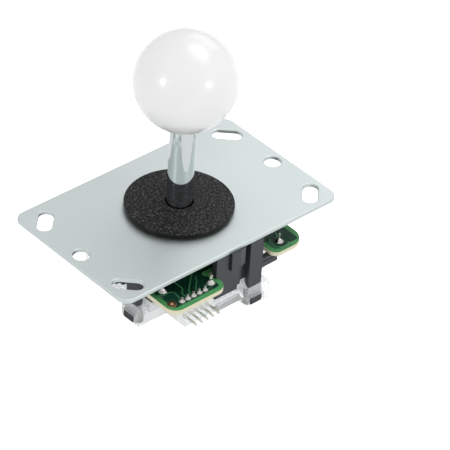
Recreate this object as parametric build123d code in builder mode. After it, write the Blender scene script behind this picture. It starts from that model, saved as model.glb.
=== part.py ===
from build123d import *
import os
from math import asin, atan2, cos, degrees, hypot, radians, sin, sqrt, tan

# A ball-top lever for a game console's control panel. Millimetres, +Z up the lever.
# The origin is on the lever's axis, in the top face of the mounting plate, and X runs along the plate.
# Below the plate hangs a moulded housing with a pivot socket. Four snap switches stand round the
# lever's actuator under a circuit board, and a clear gate closes the bottom and stops the lever.

os.makedirs("parts", exist_ok=True)

# Travel of the lever, each way about each axis
tilt_limit = 7.5
corner_tilt = degrees(asin(sqrt(2) * sin(radians(tilt_limit))))

# Fits
running_fit = 0.04
loose_fit = 0.15
stop_gap = 0.12

# Mounting plate, a steel pressing
plate_length = 95.0
plate_width = 58.6
plate_shift = 0.8
plate_thickness = 1.4
plate_corner = 4.0
plate_bore = 16.0
plate_edge_round = 0.4
slot_end_inset = 7.0
slot_side_inset = 7.9
slot_length = 10.6
slot_width = 5.2
hole_end_inset = 5.0
side_hole_diameter = 6.0
screw_spread = 10.5

# Screws that hold the housing to the plate
screw_diameter = 3.0
screw_length = 8.0
screw_head = 5.6
screw_head_angle = 90.0
screw_slot = 0.8
screw_slot_depth = 0.6

# Ball and its threaded insert
ball_diameter = 35.0
ball_height = 51.4
ball_neck = 11.0
insert_diameter = 10.0
insert_length = 15.0
stud_diameter = 6.0
stud_length = 12.0

# Shaft
shaft_diameter = 9.0
stem_diameter = 6.0
stem_end = -25.4
stem_slot = 1.2
clip_groove = 4.6
clip_thickness = 0.8
clip_diameter = 10.6
clip_relief = 7.4
clip_lug = 2.0
clip_mouth = 3.8
clip_gap = 0.05

# Dust washers on the plate
washer_diameter = 37.6
washer_rim = 1.5
washer_crown = 0.55
washer_round = 0.5
washer_bore = 9.7
lower_washer_diameter = 33.0
lower_washer_thickness = 0.8

# Pivot ball and its socket
pivot_z = -7.5
pivot_radius = 6.4
pivot_top = 4.4
pivot_bottom = 4.2
shoulder_gap = 0.7

# Housing: flange under the plate, hub with the socket, and one wall and one snap leg on each side
flange_size = 42.0
flange_thickness = 2.5
flange_corner = 5.0
hub_radius = 9.0
hub_taper = 4.0
hub_end = -12.6
socket_mouth = 4.2
side_face = 28.5
wall_thickness = 2.0
wall_start = -7.8
wall_end = 2.0
wall_bottom = -18.2
strip_end = 4.2
strip_setback = 1.0
strip_thickness = 1.4
strip_bottom = -17.6
web_thickness = 0.95
tab_start = -1.9
tab_slope_start = 2.1
tab_end = 4.8
tab_proud = 1.0
tab_end_proud = 0.2
tab_bottom = -8.4
tab_slit = 0.4
tab_slit_depth = 1.3
leg_start = 7.3
leg_width = 5.8
leg_thickness = 2.2
leg_bottom = -27.4
hook_width = 4.5
hook_top = -24.3
hook_reach = 1.5
hook_bevel = 0.4
ledge_end = 20.0
ledge_bottom = -14.6
ledge_line = -12.1
ledge_line_size = 0.35
rib_thickness = 1.6
boss_diameter = 6.4

# Circuit board
board_size = 61.8
board_top = -9.2
board_thickness = 1.6
board_bore = 19.6
board_corner = 6.0
board_gap = 0.3
notch_spare = 3.4
notch_round = 3.0
lobe_depth = 3.0
lobe_end = -7.2
lobe_flat = 1.1
spare_hole_inset = 2.7
spare_hole_setback = 4.3
spare_hole_diameter = 2.2

# Header on the board's front left corner
pin_count = 5
pin_pitch = 2.5
pin_size = 0.64
pin_x = -19.5
pin_setback = 3.5
pin_length = 8.0
pin_z = -14.4
header_margin = 2.6
header_lip = 1.1
header_depth = 6.0
header_bottom = -15.4
header_groove = 0.9

# Snap switches, one on each side, plungers towards the lever
switch_length = 19.8
switch_depth = 10.2
switch_offset = -2.5
switch_standoff = 0.6
case_thickness = 5.0
cover_thickness = 1.4
switch_hole_pitch = 9.5
switch_hole_diameter = 2.4
switch_hole_back = 2.6
plunger_width = 2.6
plunger_height = 2.2
plunger_reach = 1.25
plunger_travel = 0.9
plunger_root = 2.4
terminal_pitch = 8.1
terminal_width = 1.2
terminal_thickness = 0.6
terminal_rise = 21.9
long_terminal_inset = 2.1
terminal_top = -6.1

# Wire links on the board's underside, and solder
link_side_inset = 8.3
link_edge_inset = 4.8
link_end_x = 18.2
link_end_y = -17.2
link_diameter = 0.7
link_drop = 0.5
solder_height = 1.1
solder_radius = 1.25
solder_tip = 0.55
tall_solder_height = 2.2
tall_solder_radius = 1.7
tall_solder_tip = 0.75
link_solder_tip = 0.45

# Actuator, spring and seat on the stem
actuator_diameter = 12.8
actuator_wall = 1.1
actuator_top = -14.1
actuator_bottom = -23.4
actuator_floor = 2.0
seat_thickness = 0.6
seat_diameter = 11.4
spring_wire = 0.9
spring_diameter = 10.1
spring_turns = 4.0

# Restrictor gate, a clear moulding
gate_bottom = -27.0
gate_floor = 2.0
gate_edge = 25.2
gate_inset = 17.7
gate_wall = 1.5
gate_wall_top = -18.6
collar_wall = 1.6
collar_top = -21.6
opening_corner = 1.5
hook_cover = 0.1
arm_inner_post = 1.3
arm_outer_post = 2.5
arm_corner = 2.0
arm_top = -20.5
bar_bevel = 1.0
bar_bottom = -24.2
wing_length = 11.5
wing_depth = 2.8
wing_bottom = -24.6
wing_thickness = 2.2

# Heights and radii that follow from those
slot_x = plate_length / 2 - slot_end_inset
slot_y = plate_width / 2 - slot_side_inset
side_hole_x = plate_length / 2 - hole_end_inset
plate_bottom = -plate_thickness
flange_bottom = plate_bottom - flange_thickness
washer_bottom = lower_washer_thickness
washer_middle = washer_bottom + (washer_rim + washer_crown) / 2
board_bottom = board_top - board_thickness
board_half = board_size / 2
case_top = board_bottom - switch_standoff
case_bottom = case_top - case_thickness
cover_bottom = case_bottom - cover_thickness
plunger_z = (case_top + cover_bottom) / 2
stem_radius = stem_diameter / 2
shaft_radius = shaft_diameter / 2
actuator_radius = actuator_diameter / 2
lean = tan(radians(tilt_limit))
corner_lean = tan(radians(corner_tilt))
stretch = 1 / cos(radians(tilt_limit))
shoulder_z = pivot_z + pivot_top + shoulder_gap
ball_flat = ball_height - sqrt((ball_diameter / 2) ** 2 - (ball_neck / 2) ** 2)
plunger_low = pivot_z - (plunger_z - plunger_height / 2)
plunger_tip = plunger_low * lean + actuator_radius * stretch + stop_gap
case_face = plunger_tip + plunger_reach
case_back = case_face + switch_depth
socket_radius = pivot_radius + running_fit
actuator_drop = pivot_z - actuator_bottom
opening_half = actuator_drop * sin(radians(tilt_limit)) + actuator_radius + stop_gap
side_inner = side_face - wall_thickness
strip_face = side_face - strip_setback
web_face = side_face - leg_thickness - loose_fit
web_back = web_face - web_thickness
leg_end = leg_start + leg_width
leg_centre = leg_start + leg_width / 2
notch_start = wall_start - board_gap
notch_end = leg_end + notch_spare
notch_floor = web_back - board_gap
lobe_front = board_half + lobe_depth
lobe_corner = lobe_front - side_face - board_gap - lobe_flat
spare_hole_x = spare_hole_inset - board_half
spare_hole_y = spare_hole_setback - lobe_front
pin_hole_y = pin_setback - lobe_front
pin_tip_y = pin_hole_y - pin_length
header_front = pin_hole_y - header_lip
header_back = header_front + header_depth
link_start_x = board_half - link_side_inset
link_start_y = link_edge_inset - board_half
sides = ["front", "right", "back", "left"]


def turned(plane, quarter):
    """The same plane, turned about the lever's axis in quarter turns."""
    return Plane(Location((0, 0, 0), (0, 0, 90 * quarter)) * plane.location)


def box_sketch(x_from, x_to, y_from, y_to, mode=Mode.ADD):
    """A rectangle between four sides, for use inside a sketch."""
    with Locations(((x_from + x_to) / 2, (y_from + y_to) / 2)):
        Rectangle(abs(x_to - x_from), abs(y_to - y_from), mode=mode)


# Mounting plate: rounded corners, a diagonal slot in each, a round hole at each end,
# countersunk holes round the bore, and the rolled top edges of a pressing
with BuildPart() as mounting_plate:
    with BuildSketch():
        with Locations((0, plate_shift)):
            RectangleRounded(plate_length, plate_width, plate_corner)
        Circle(plate_bore / 2, mode=Mode.SUBTRACT)
        with Locations((-side_hole_x, 0), (side_hole_x, 0)):
            Circle(side_hole_diameter / 2, mode=Mode.SUBTRACT)
        for x in (-slot_x, slot_x):
            for y in (-slot_y, slot_y):
                with Locations((x, y)):
                    slot_angle = -45 if x * y > 0 else 45
                    SlotOverall(slot_length, slot_width, rotation=slot_angle, mode=Mode.SUBTRACT)
    extrude(amount=-plate_thickness)
    fillet(mounting_plate.faces().sort_by(Axis.Z)[-1].edges(), plate_edge_round)
    with GridLocations(2 * screw_spread, 2 * screw_spread, 2, 2):
        CounterSinkHole(screw_diameter / 2 + loose_fit, screw_head / 2 + loose_fit,
                        counter_sink_angle=screw_head_angle)
mounting_plate.part.label = "mounting_plate"
export_step(mounting_plate.part, "parts/mounting_plate.step")

# Plate screws: four countersunk screws, turned profile, with a driver slot
head_depth = (screw_head - screw_diameter) / 2 / tan(radians(screw_head_angle / 2))
with BuildPart() as screw:
    with BuildSketch(Plane.XZ):
        with BuildLine():
            Polyline((0, 0), (screw_head / 2, 0), (screw_diameter / 2, -head_depth),
                     (screw_diameter / 2, -screw_length + screw_diameter / 4),
                     (screw_diameter / 4, -screw_length), (0, -screw_length), close=True)
        make_face()
    revolve(axis=Axis.Z)
    with BuildSketch():
        Rectangle(screw_head, screw_slot)
    extrude(amount=-screw_slot_depth, mode=Mode.SUBTRACT)
with BuildPart() as plate_screws:
    with GridLocations(2 * screw_spread, 2 * screw_spread, 2, 2):
        add(screw.part)
plate_screws.part.label = "plate_screws"
export_step(plate_screws.part, "parts/plate_screws.step")

# Ball: a sphere with a flat neck and a blind bore for its insert
with BuildPart() as ball_top:
    with Locations((0, 0, ball_height)):
        Sphere(ball_diameter / 2)
    split(bisect_by=Plane.XY.offset(ball_flat), keep=Keep.TOP)
    with BuildSketch(Plane.XY.offset(ball_flat)):
        Circle(insert_diameter / 2 + running_fit / 2)
    extrude(amount=insert_length, mode=Mode.SUBTRACT)
ball_top.part.label = "ball_top"
export_step(ball_top.part, "parts/ball_top.step")

# Insert: a threaded bush moulded into the ball, with two retaining grooves
with BuildPart() as ball_insert:
    with BuildSketch(Plane.XZ):
        with BuildLine():
            Polyline((stud_diameter / 2 + running_fit, ball_flat), (insert_diameter / 2, ball_flat),
                     (insert_diameter / 2, ball_flat + insert_length),
                     (0, ball_flat + insert_length), (0, ball_flat + stud_length + 1),
                     (stud_diameter / 2 + running_fit, ball_flat + stud_length + 1), close=True)
        make_face()
        for share in (1 / 3, 2 / 3):
            with Locations((insert_diameter / 2, ball_flat + insert_length * share)):
                Rectangle(1.0, 1.0, mode=Mode.SUBTRACT)
    revolve(axis=Axis.Z)
ball_insert.part.label = "ball_insert"
export_step(ball_insert.part, "parts/ball_insert.step")

# Shaft: one turned rod, from the stud in the ball to the slotted end below the clip
clip_top = actuator_bottom - clip_gap
clip_bottom = clip_top - clip_thickness
with BuildPart() as shaft:
    with BuildSketch(Plane.XZ):
        with BuildLine():
            Polyline((0, stem_end), (stem_radius - 0.5, stem_end), (stem_radius, stem_end + 0.5),
                     (stem_radius, clip_bottom), (clip_groove / 2, clip_bottom),
                     (clip_groove / 2, clip_top), (stem_radius, clip_top),
                     (stem_radius, shoulder_z), (shaft_radius - 0.3, shoulder_z),
                     (shaft_radius, shoulder_z + 0.3), (shaft_radius, ball_flat - 0.4),
                     (shaft_radius - 0.4, ball_flat), (stud_diameter / 2, ball_flat),
                     (stud_diameter / 2, ball_flat + stud_length - 0.8),
                     (stud_diameter / 2 - 0.8, ball_flat + stud_length),
                     (0, ball_flat + stud_length), close=True)
        make_face()
    revolve(axis=Axis.Z)
    with BuildSketch(Plane.XY.offset(stem_end)):
        Rectangle(stem_diameter, stem_slot)
    extrude(amount=stem_slot, mode=Mode.SUBTRACT)
shaft.part.label = "shaft"
export_step(shaft.part, "parts/shaft.step")

# Dust washer: a shallow crowned disc with a rounded rim, close round the shaft
washer_radius = washer_diameter / 2
with BuildPart() as dust_washer:
    with BuildSketch(Plane.XZ):
        with BuildLine():
            Polyline((washer_bore / 2, washer_bottom), (washer_radius, washer_bottom),
                     (washer_radius, washer_bottom + washer_rim),
                     (washer_bore / 2, washer_bottom + washer_rim + washer_crown), close=True)
        make_face()
        fillet(vertices().group_by(Axis.X)[-1], washer_round)
    revolve(axis=Axis.Z)
dust_washer.part.label = "dust_washer"
export_step(dust_washer.part, "parts/dust_washer.step")

# Lower dust washer: a smaller flat disc that carries the upper one on the plate
lower_bore = shaft_radius + (washer_bottom - pivot_z) * corner_lean + running_fit * 4
with BuildPart() as lower_dust_washer:
    with BuildSketch():
        Circle(lower_washer_diameter / 2)
        Circle(lower_bore, mode=Mode.SUBTRACT)
    extrude(amount=lower_washer_thickness)
lower_dust_washer.part.label = "lower_dust_washer"
export_step(lower_dust_washer.part, "parts/lower_dust_washer.step")

# Pivot ball: flats at both ends, and a bore that flares both ways from its waist,
# so that the ball rocks about X in the socket and the shaft rocks about Y in the ball
waist = stem_radius * stretch + running_fit
flare = 1.1 * lean
with BuildPart() as pivot_ball:
    with Locations((0, 0, pivot_z)):
        Sphere(pivot_radius)
    split(bisect_by=Plane.XY.offset(pivot_z + pivot_top), keep=Keep.BOTTOM)
    split(bisect_by=Plane.XY.offset(pivot_z - pivot_bottom), keep=Keep.TOP)
    with BuildSketch(Plane.XZ):
        with BuildLine():
            Polyline((0, pivot_z - pivot_bottom), (waist + flare * pivot_bottom, pivot_z - pivot_bottom),
                     (waist, pivot_z), (waist + flare * pivot_top, pivot_z + pivot_top),
                     (0, pivot_z + pivot_top), close=True)
        make_face()
    revolve(axis=Axis.Z, mode=Mode.SUBTRACT)
pivot_ball.part.label = "pivot_ball"
export_step(pivot_ball.part, "parts/pivot_ball.step")

# Housing: flange, hub with the pivot socket, ribs that carry the board, screw bosses, and on each side
# a wall with a latch tab, a set-back strip, a web behind the leg, a snap leg with its hook and a ledge
socket_end = pivot_z - sqrt(socket_radius ** 2 - socket_mouth ** 2)
with BuildPart() as housing:
    with BuildSketch(Plane.XY.offset(plate_bottom)):
        RectangleRounded(flange_size, flange_size, flange_corner)
        with PolarLocations(0, 4):
            box_sketch(wall_start, leg_end, -side_face, 0)
        with PolarLocations(0, 4):
            box_sketch(strip_end, leg_start, -side_face, -web_face, Mode.SUBTRACT)
    extrude(amount=-flange_thickness)
    with BuildSketch(Plane.XY.offset(flange_bottom)):
        Circle(hub_radius)
    extrude(amount=hub_end - flange_bottom, taper=hub_taper)
    with BuildSketch(Plane.XY.offset(flange_bottom)):
        with PolarLocations(0, 4):
            box_sketch(-rib_thickness / 2, rib_thickness / 2, -side_inner, -hub_radius / 2)
        with GridLocations(2 * screw_spread, 2 * screw_spread, 2, 2):
            Circle(boss_diameter / 2)
    extrude(amount=board_top - flange_bottom)
    with BuildSketch(Plane.XY.offset(flange_bottom)):
        with PolarLocations(0, 4):
            box_sketch(wall_start, wall_end, -side_face, -side_inner)
    extrude(amount=wall_bottom - flange_bottom)
    with BuildSketch(Plane.XY.offset(flange_bottom)):
        with PolarLocations(0, 4):
            box_sketch(wall_end - wall_thickness, strip_end, -strip_face, -strip_face + strip_thickness)
            box_sketch(wall_end - wall_thickness, leg_centre, -web_face, -web_back)
    extrude(amount=strip_bottom - flange_bottom)
    with BuildSketch(Plane.XY.offset(plate_bottom)):
        with PolarLocations(0, 4):
            Polygon((tab_start, -strip_face), (tab_start, -side_face - tab_proud),
                    (tab_slope_start, -side_face - tab_proud), (tab_end, -side_face - tab_end_proud),
                    (tab_end, -strip_face), align=None)
    extrude(amount=tab_bottom - plate_bottom)
    with BuildSketch(Plane.XY.offset(plate_bottom)):
        with PolarLocations(0, 4):
            box_sketch(tab_start - tab_slit, tab_start, -side_face, -side_face + tab_slit_depth)
    extrude(amount=tab_bottom - plate_bottom, mode=Mode.SUBTRACT)
    with BuildSketch(Plane.XY.offset(flange_bottom)):
        with PolarLocations(0, 4):
            box_sketch(leg_start, leg_end, -side_face, -side_face + leg_thickness)
    extrude(amount=leg_bottom - flange_bottom)
    with BuildSketch(Plane.XY.offset(board_bottom)):
        with PolarLocations(0, 4):
            box_sketch(leg_end, ledge_end, -side_face, -side_inner)
    extrude(amount=ledge_bottom - board_bottom)
    with BuildSketch(Plane.XY.offset(ledge_line)):
        with PolarLocations(0, 4):
            box_sketch(leg_end, ledge_end, -side_face, -side_face + ledge_line_size)
    extrude(amount=-ledge_line_size, mode=Mode.SUBTRACT)
    for quarter in range(4):
        with BuildSketch(turned(Plane.YZ.offset(leg_centre), quarter)):
            with BuildLine():
                Polyline((-side_face + 0.5, hook_top), (-side_face - hook_reach, hook_top),
                         (-side_face - hook_reach, leg_bottom + hook_bevel),
                         (-side_face - hook_reach + hook_bevel, leg_bottom),
                         (-side_face + 0.5, leg_bottom), close=True)
            make_face()
        extrude(amount=hook_width / 2, both=True)
    with BuildSketch(Plane.XZ):
        with BuildLine():
            Polyline((0, socket_end), (0, plate_bottom), (socket_radius, plate_bottom),
                     (socket_radius, pivot_z))
            sag = -degrees(asin((pivot_z - socket_end) / socket_radius))
            CenterArc((0, pivot_z), socket_radius, 0, sag)
            Line((socket_mouth, socket_end), (0, socket_end))
        make_face()
    revolve(axis=Axis.Z, mode=Mode.SUBTRACT)
    with BuildSketch(Plane.XY.offset(hub_end)):
        Circle(socket_mouth)
    extrude(amount=socket_end - hub_end, mode=Mode.SUBTRACT)
    with BuildSketch(Plane.XY.offset(plate_bottom)):
        with GridLocations(2 * screw_spread, 2 * screw_spread, 2, 2):
            Circle(screw_diameter / 2 + running_fit)
    extrude(amount=-screw_length + plate_thickness / 2, mode=Mode.SUBTRACT)
housing.part.label = "housing"
export_step(housing.part, "parts/housing.step")

# Spring seat: a flat steel washer under the hub
seat_top = hub_end
seat_bottom = seat_top - seat_thickness
with BuildPart() as spring_seat:
    with BuildSketch(Plane.XY.offset(seat_bottom)):
        Circle(seat_diameter / 2)
        Circle(socket_mouth, mode=Mode.SUBTRACT)
    extrude(amount=seat_thickness)
spring_seat.part.label = "spring_seat"
export_step(spring_seat.part, "parts/spring_seat.step")

# Centring spring: wire coiled between the seat and the actuator's floor
spring_low = actuator_bottom + actuator_floor + spring_wire / 2
spring_high = seat_bottom - spring_wire / 2
spring_rise = spring_high - spring_low
coil_radius = (spring_diameter - spring_wire) / 2
with BuildPart() as centring_spring:
    with BuildLine():
        coil = Helix(spring_rise / spring_turns, spring_rise, coil_radius, center=(0, 0, spring_low))
    with BuildSketch(Plane(coil @ 0, z_dir=coil % 0)):
        RegularPolygon(spring_wire / 2 - running_fit / 2, 8)
    sweep(is_frenet=True)
centring_spring.part.label = "centring_spring"
export_step(centring_spring.part, "parts/centring_spring.step")

# Actuator: a cup on the stem that holds the spring and presses the switches
with BuildPart() as actuator:
    with BuildSketch(Plane.XY.offset(actuator_bottom)):
        Circle(actuator_radius)
    extrude(amount=actuator_top - actuator_bottom)
    with BuildSketch(Plane.XY.offset(actuator_top)):
        Circle(actuator_radius - actuator_wall)
    extrude(amount=-(actuator_top - actuator_bottom - actuator_floor), mode=Mode.SUBTRACT)
    with BuildSketch(Plane.XY.offset(actuator_bottom)):
        Circle(stem_radius + running_fit)
    extrude(amount=actuator_floor, mode=Mode.SUBTRACT)
    fillet(actuator.faces().sort_by(Axis.Z)[0].outer_wire().edges(), 0.6)
    chamfer(actuator.faces().sort_by(Axis.Z)[-1].outer_wire().edges(), 0.3)
actuator.part.label = "actuator"
export_step(actuator.part, "parts/actuator.step")

# Retaining clip: a flat ring with a mouth, whose three inner lugs spring into the stem's groove
with BuildPart() as e_clip:
    with BuildSketch(Plane.XY.offset(clip_bottom)):
        Circle(clip_diameter / 2)
        Circle(clip_relief / 2, mode=Mode.SUBTRACT)
        with PolarLocations(clip_relief / 4, 3, start_angle=90):
            Rectangle(clip_relief / 2 + clip_thickness, clip_lug)
        Circle(clip_groove / 2 + running_fit, mode=Mode.SUBTRACT)
        box_sketch(-clip_mouth / 2, clip_mouth / 2, -clip_diameter, 0, mode=Mode.SUBTRACT)
    extrude(amount=clip_thickness)
e_clip.part.label = "e_clip"
export_step(e_clip.part, "parts/e_clip.step")

# Circuit board: square, with a lobe for the header, a bore for the hub, notches for the
# housing's walls and legs, and a hole for every pin, terminal and link
header_pin_x = [pin_x + pin_pitch * (i - (pin_count - 1) / 2) for i in range(pin_count)]
terminal_x = [switch_offset + terminal_pitch * i for i in (-1, 0, 1)]
terminal_y = [long_terminal_inset - board_half, -terminal_rise, -terminal_rise]
pin_hole = pin_size * sqrt(2) / 2 + running_fit
terminal_hole = sqrt(terminal_width ** 2 + terminal_thickness ** 2) / 2 + running_fit
link_hole = link_diameter / 2 + running_fit
with BuildPart() as circuit_board:
    with BuildSketch(Plane.XY.offset(board_bottom)) as board_outline:
        RectangleRounded(board_size, board_size, board_corner)
        box_sketch(-board_half, notch_start, -lobe_front, 0)
        Circle(board_bore / 2, mode=Mode.SUBTRACT)
        with PolarLocations(0, 4):
            box_sketch(notch_start, notch_end, -2 * board_half, -notch_floor, Mode.SUBTRACT)
        box_sketch(notch_start - lobe_corner, lobe_end, -lobe_front, -side_face - board_gap)
        fillet(board_outline.vertices().group_by(Axis.Y)[0], lobe_corner)
        notch_reach = sqrt(notch_end ** 2 + board_half ** 2)
        notch_corners = board_outline.vertices().filter_by(
            lambda corner: abs(sqrt(corner.X ** 2 + corner.Y ** 2) - notch_reach) < loose_fit / 2)
        fillet(notch_corners, notch_round)
        with Locations([(x, pin_hole_y) for x in header_pin_x]):
            Circle(pin_hole, mode=Mode.SUBTRACT)
        with Locations((spare_hole_x, spare_hole_y)):
            Circle(spare_hole_diameter / 2, mode=Mode.SUBTRACT)
        with PolarLocations(0, 4):
            with Locations([(x, y) for x, y in zip(terminal_x, terminal_y)]):
                Circle(terminal_hole, mode=Mode.SUBTRACT)
            with Locations((link_start_x, link_start_y), (link_end_x, link_end_y)):
                Circle(link_hole, mode=Mode.SUBTRACT)
    extrude(amount=board_thickness)
circuit_board.part.label = "circuit_board"
export_step(circuit_board.part, "parts/circuit_board.step")

# Header: a plain right-angle block under the board, grooved between its pins
header_length = (pin_count - 1) * pin_pitch + 2 * header_margin
with BuildPart() as header_body:
    with BuildSketch(Plane.XY.offset(header_bottom)):
        box_sketch(pin_x - header_length / 2, pin_x + header_length / 2, header_front, header_back)
    extrude(amount=board_bottom - header_bottom)
    chamfer(header_body.edges().filter_by(Axis.Z), 0.4)
    with BuildSketch(Plane.XZ.offset(-header_front)):
        with Locations([(x + pin_pitch / 2, header_bottom) for x in header_pin_x[:-1]]):
            Rectangle(header_groove, 2 * header_groove)
    extrude(amount=header_front - header_back, mode=Mode.SUBTRACT)
    with BuildSketch(Plane.XZ.offset(-header_front)):
        with Locations([(x, pin_z) for x in header_pin_x]):
            Rectangle(pin_size + running_fit, pin_size + running_fit)
    extrude(amount=header_front - pin_hole_y - pin_size, mode=Mode.SUBTRACT)
    with BuildSketch(Plane.XY.offset(board_bottom)):
        with Locations([(x, pin_hole_y) for x in header_pin_x]):
            Rectangle(pin_size + running_fit, pin_size + running_fit)
    extrude(amount=pin_z - pin_size - board_bottom, mode=Mode.SUBTRACT)
header_body.part.label = "header_body"
export_step(header_body.part, "parts/header_body.step")

# Header pins: square wire bent through a right angle, from the board to the plug
pin_top = board_top + solder_height + 0.5
with BuildPart() as header_pins:
    for x in header_pin_x:
        with BuildSketch(Plane.YZ.offset(x)):
            with BuildLine():
                half_pin = pin_size / 2
                Polyline((pin_tip_y, pin_z - half_pin), (pin_hole_y + half_pin, pin_z - half_pin),
                         (pin_hole_y + half_pin, pin_top), (pin_hole_y - half_pin, pin_top),
                         (pin_hole_y - half_pin, pin_z + half_pin), (pin_tip_y, pin_z + half_pin),
                         close=True)
            make_face()
        extrude(amount=half_pin, both=True)
    tips = header_pins.faces().group_by(Axis.Y)[0].edges()
    chamfer(tips, 0.18)
header_pins.part.label = "header_pins"
export_step(header_pins.part, "parts/header_pins.step")

# Snap switches: a case with a guide for the plunger, a cover, and the plunger itself
switch_left = switch_offset - switch_length / 2
switch_right = switch_offset + switch_length / 2
hole_y = -case_back + switch_hole_back
hole_spots = [(switch_offset - switch_hole_pitch / 2, hole_y), (switch_offset + switch_hole_pitch / 2, hole_y)]
guide_depth = plunger_root + plunger_travel + loose_fit
for quarter, side in enumerate(sides):
    with BuildPart() as switch_case:
        with BuildSketch(turned(Plane.XY.offset(case_bottom), quarter)):
            box_sketch(switch_left, switch_right, -case_back, -case_face)
            with Locations(hole_spots):
                Circle(switch_hole_diameter / 2, mode=Mode.SUBTRACT)
        extrude(amount=case_thickness)
        with BuildSketch(turned(Plane.XY.offset(case_top), quarter)):
            foot = switch_standoff * 3
            box_sketch(switch_left, switch_left + foot, -case_back, -case_face)
            box_sketch(switch_right - foot, switch_right, -case_back, -case_face)
        extrude(amount=switch_standoff)
        with BuildSketch(turned(Plane.XZ.offset(case_face), quarter)):
            with Locations((0, plunger_z)):
                Rectangle(plunger_width + running_fit * 2, plunger_height + running_fit * 2)
        extrude(amount=guide_depth, mode=Mode.SUBTRACT)
        with BuildSketch(turned(Plane.XZ.offset(case_back), quarter)):
            with Locations([(x, plunger_z) for x in terminal_x]):
                Rectangle(terminal_width + running_fit, terminal_thickness + running_fit)
        extrude(amount=-switch_hole_back / 2, mode=Mode.SUBTRACT)
    switch_case.part.label = f"switch_case_{side}"
    export_step(switch_case.part, f"parts/switch_case_{side}.step")

    with BuildPart() as switch_cover:
        with BuildSketch(turned(Plane.XY.offset(cover_bottom), quarter)):
            box_sketch(switch_left, switch_right, -case_back, -case_face)
            with Locations(hole_spots):
                Circle(switch_hole_diameter / 2, mode=Mode.SUBTRACT)
        extrude(amount=cover_thickness)
        chamfer(switch_cover.faces().sort_by(Axis.Z)[0].outer_wire().edges(), 0.3)
    switch_cover.part.label = f"switch_cover_{side}"
    export_step(switch_cover.part, f"parts/switch_cover_{side}.step")

    with BuildPart() as plunger:
        with BuildSketch(turned(Plane.XZ.offset(plunger_tip), quarter)):
            with Locations((0, plunger_z)):
                Rectangle(plunger_width, plunger_height)
        extrude(amount=plunger_reach + plunger_root)
        chamfer(plunger.faces().sort_by_distance((0, 0, plunger_z))[0].edges(), 0.3)
    plunger.part.label = f"plunger_{side}"
    export_step(plunger.part, f"parts/plunger_{side}.step")

# Switch terminals: three bent strips behind each switch, up through the board
with BuildPart() as switch_terminals:
    for quarter in range(4):
        for x, y in zip(terminal_x, terminal_y):
            with BuildSketch(turned(Plane.YZ.offset(x), quarter)):
                with BuildLine():
                    half_strip = terminal_thickness / 2
                    inner = -case_back + switch_hole_back / 2
                    Polyline((inner, plunger_z - half_strip), (y - half_strip, plunger_z - half_strip),
                             (y - half_strip, terminal_top), (y + half_strip, terminal_top),
                             (y + half_strip, plunger_z + half_strip), (inner, plunger_z + half_strip),
                             close=True)
                make_face()
            extrude(amount=terminal_width / 2, both=True)
switch_terminals.part.label = "switch_terminals"
export_step(switch_terminals.part, "parts/switch_terminals.step")

# Wire links: bare wire under the board, bent up through it at both ends
link_run = atan2(link_end_y - link_start_y, link_end_x - link_start_x)
link_length = hypot(link_end_x - link_start_x, link_end_y - link_start_y)
link_low = board_bottom - link_drop
link_plane = Plane(origin=(link_start_x, link_start_y, 0), x_dir=(cos(link_run), sin(link_run), 0),
                   z_dir=(sin(link_run), -cos(link_run), 0))
with BuildPart() as wire_links:
    for quarter in range(4):
        with BuildLine(turned(link_plane, quarter)) as link_path:
            FilletPolyline((0, terminal_top), (0, link_low), (link_length, link_low),
                           (link_length, terminal_top), radius=link_diameter)
        with BuildSketch(Plane(link_path.line @ 0, z_dir=link_path.line % 0)):
            Circle(link_diameter / 2)
        sweep(path=link_path.line)
wire_links.part.label = "wire_links"
export_step(wire_links.part, "parts/wire_links.step")

# Solder: a concave fillet round every pin, terminal and link, low at the header and tall elsewhere
joint_kinds = {"pin": (solder_height, solder_radius, solder_tip),
               "strip": (tall_solder_height, tall_solder_radius, tall_solder_tip),
               "link": (tall_solder_height, tall_solder_radius, link_solder_tip)}
joints = {}
for kind, (height, radius, tip) in joint_kinds.items():
    with BuildPart() as joint:
        with BuildSketch(Plane.XZ):
            with BuildLine():
                hollow = ((radius + tip) * 0.46, board_top + height * 0.35)
                top = (tip, board_top + height)
                Polyline(top, (0, board_top + height), (0, board_top), (radius, board_top), hollow,
                         close=True)
            make_face()
        revolve(axis=Axis.Z)
        with BuildSketch(Plane.XY.offset(board_top)):
            if kind == "pin":
                Rectangle(pin_size, pin_size)
            elif kind == "strip":
                Rectangle(terminal_width, terminal_thickness)
            else:
                Circle(link_diameter / 2)
        extrude(amount=height, mode=Mode.SUBTRACT)
    joints[kind] = joint.part
with BuildPart() as solder_joints:
    with Locations([(x, pin_hole_y) for x in header_pin_x]):
        add(joints["pin"])
    with PolarLocations(0, 4):
        with Locations([(x, y) for x, y in zip(terminal_x, terminal_y)]):
            add(joints["strip"])
        with Locations((link_start_x, link_start_y), (link_end_x, link_end_y)):
            add(joints["link"])
solder_joints.part.label = "solder_joints"
export_step(solder_joints.part, "parts/solder_joints.step")

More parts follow.
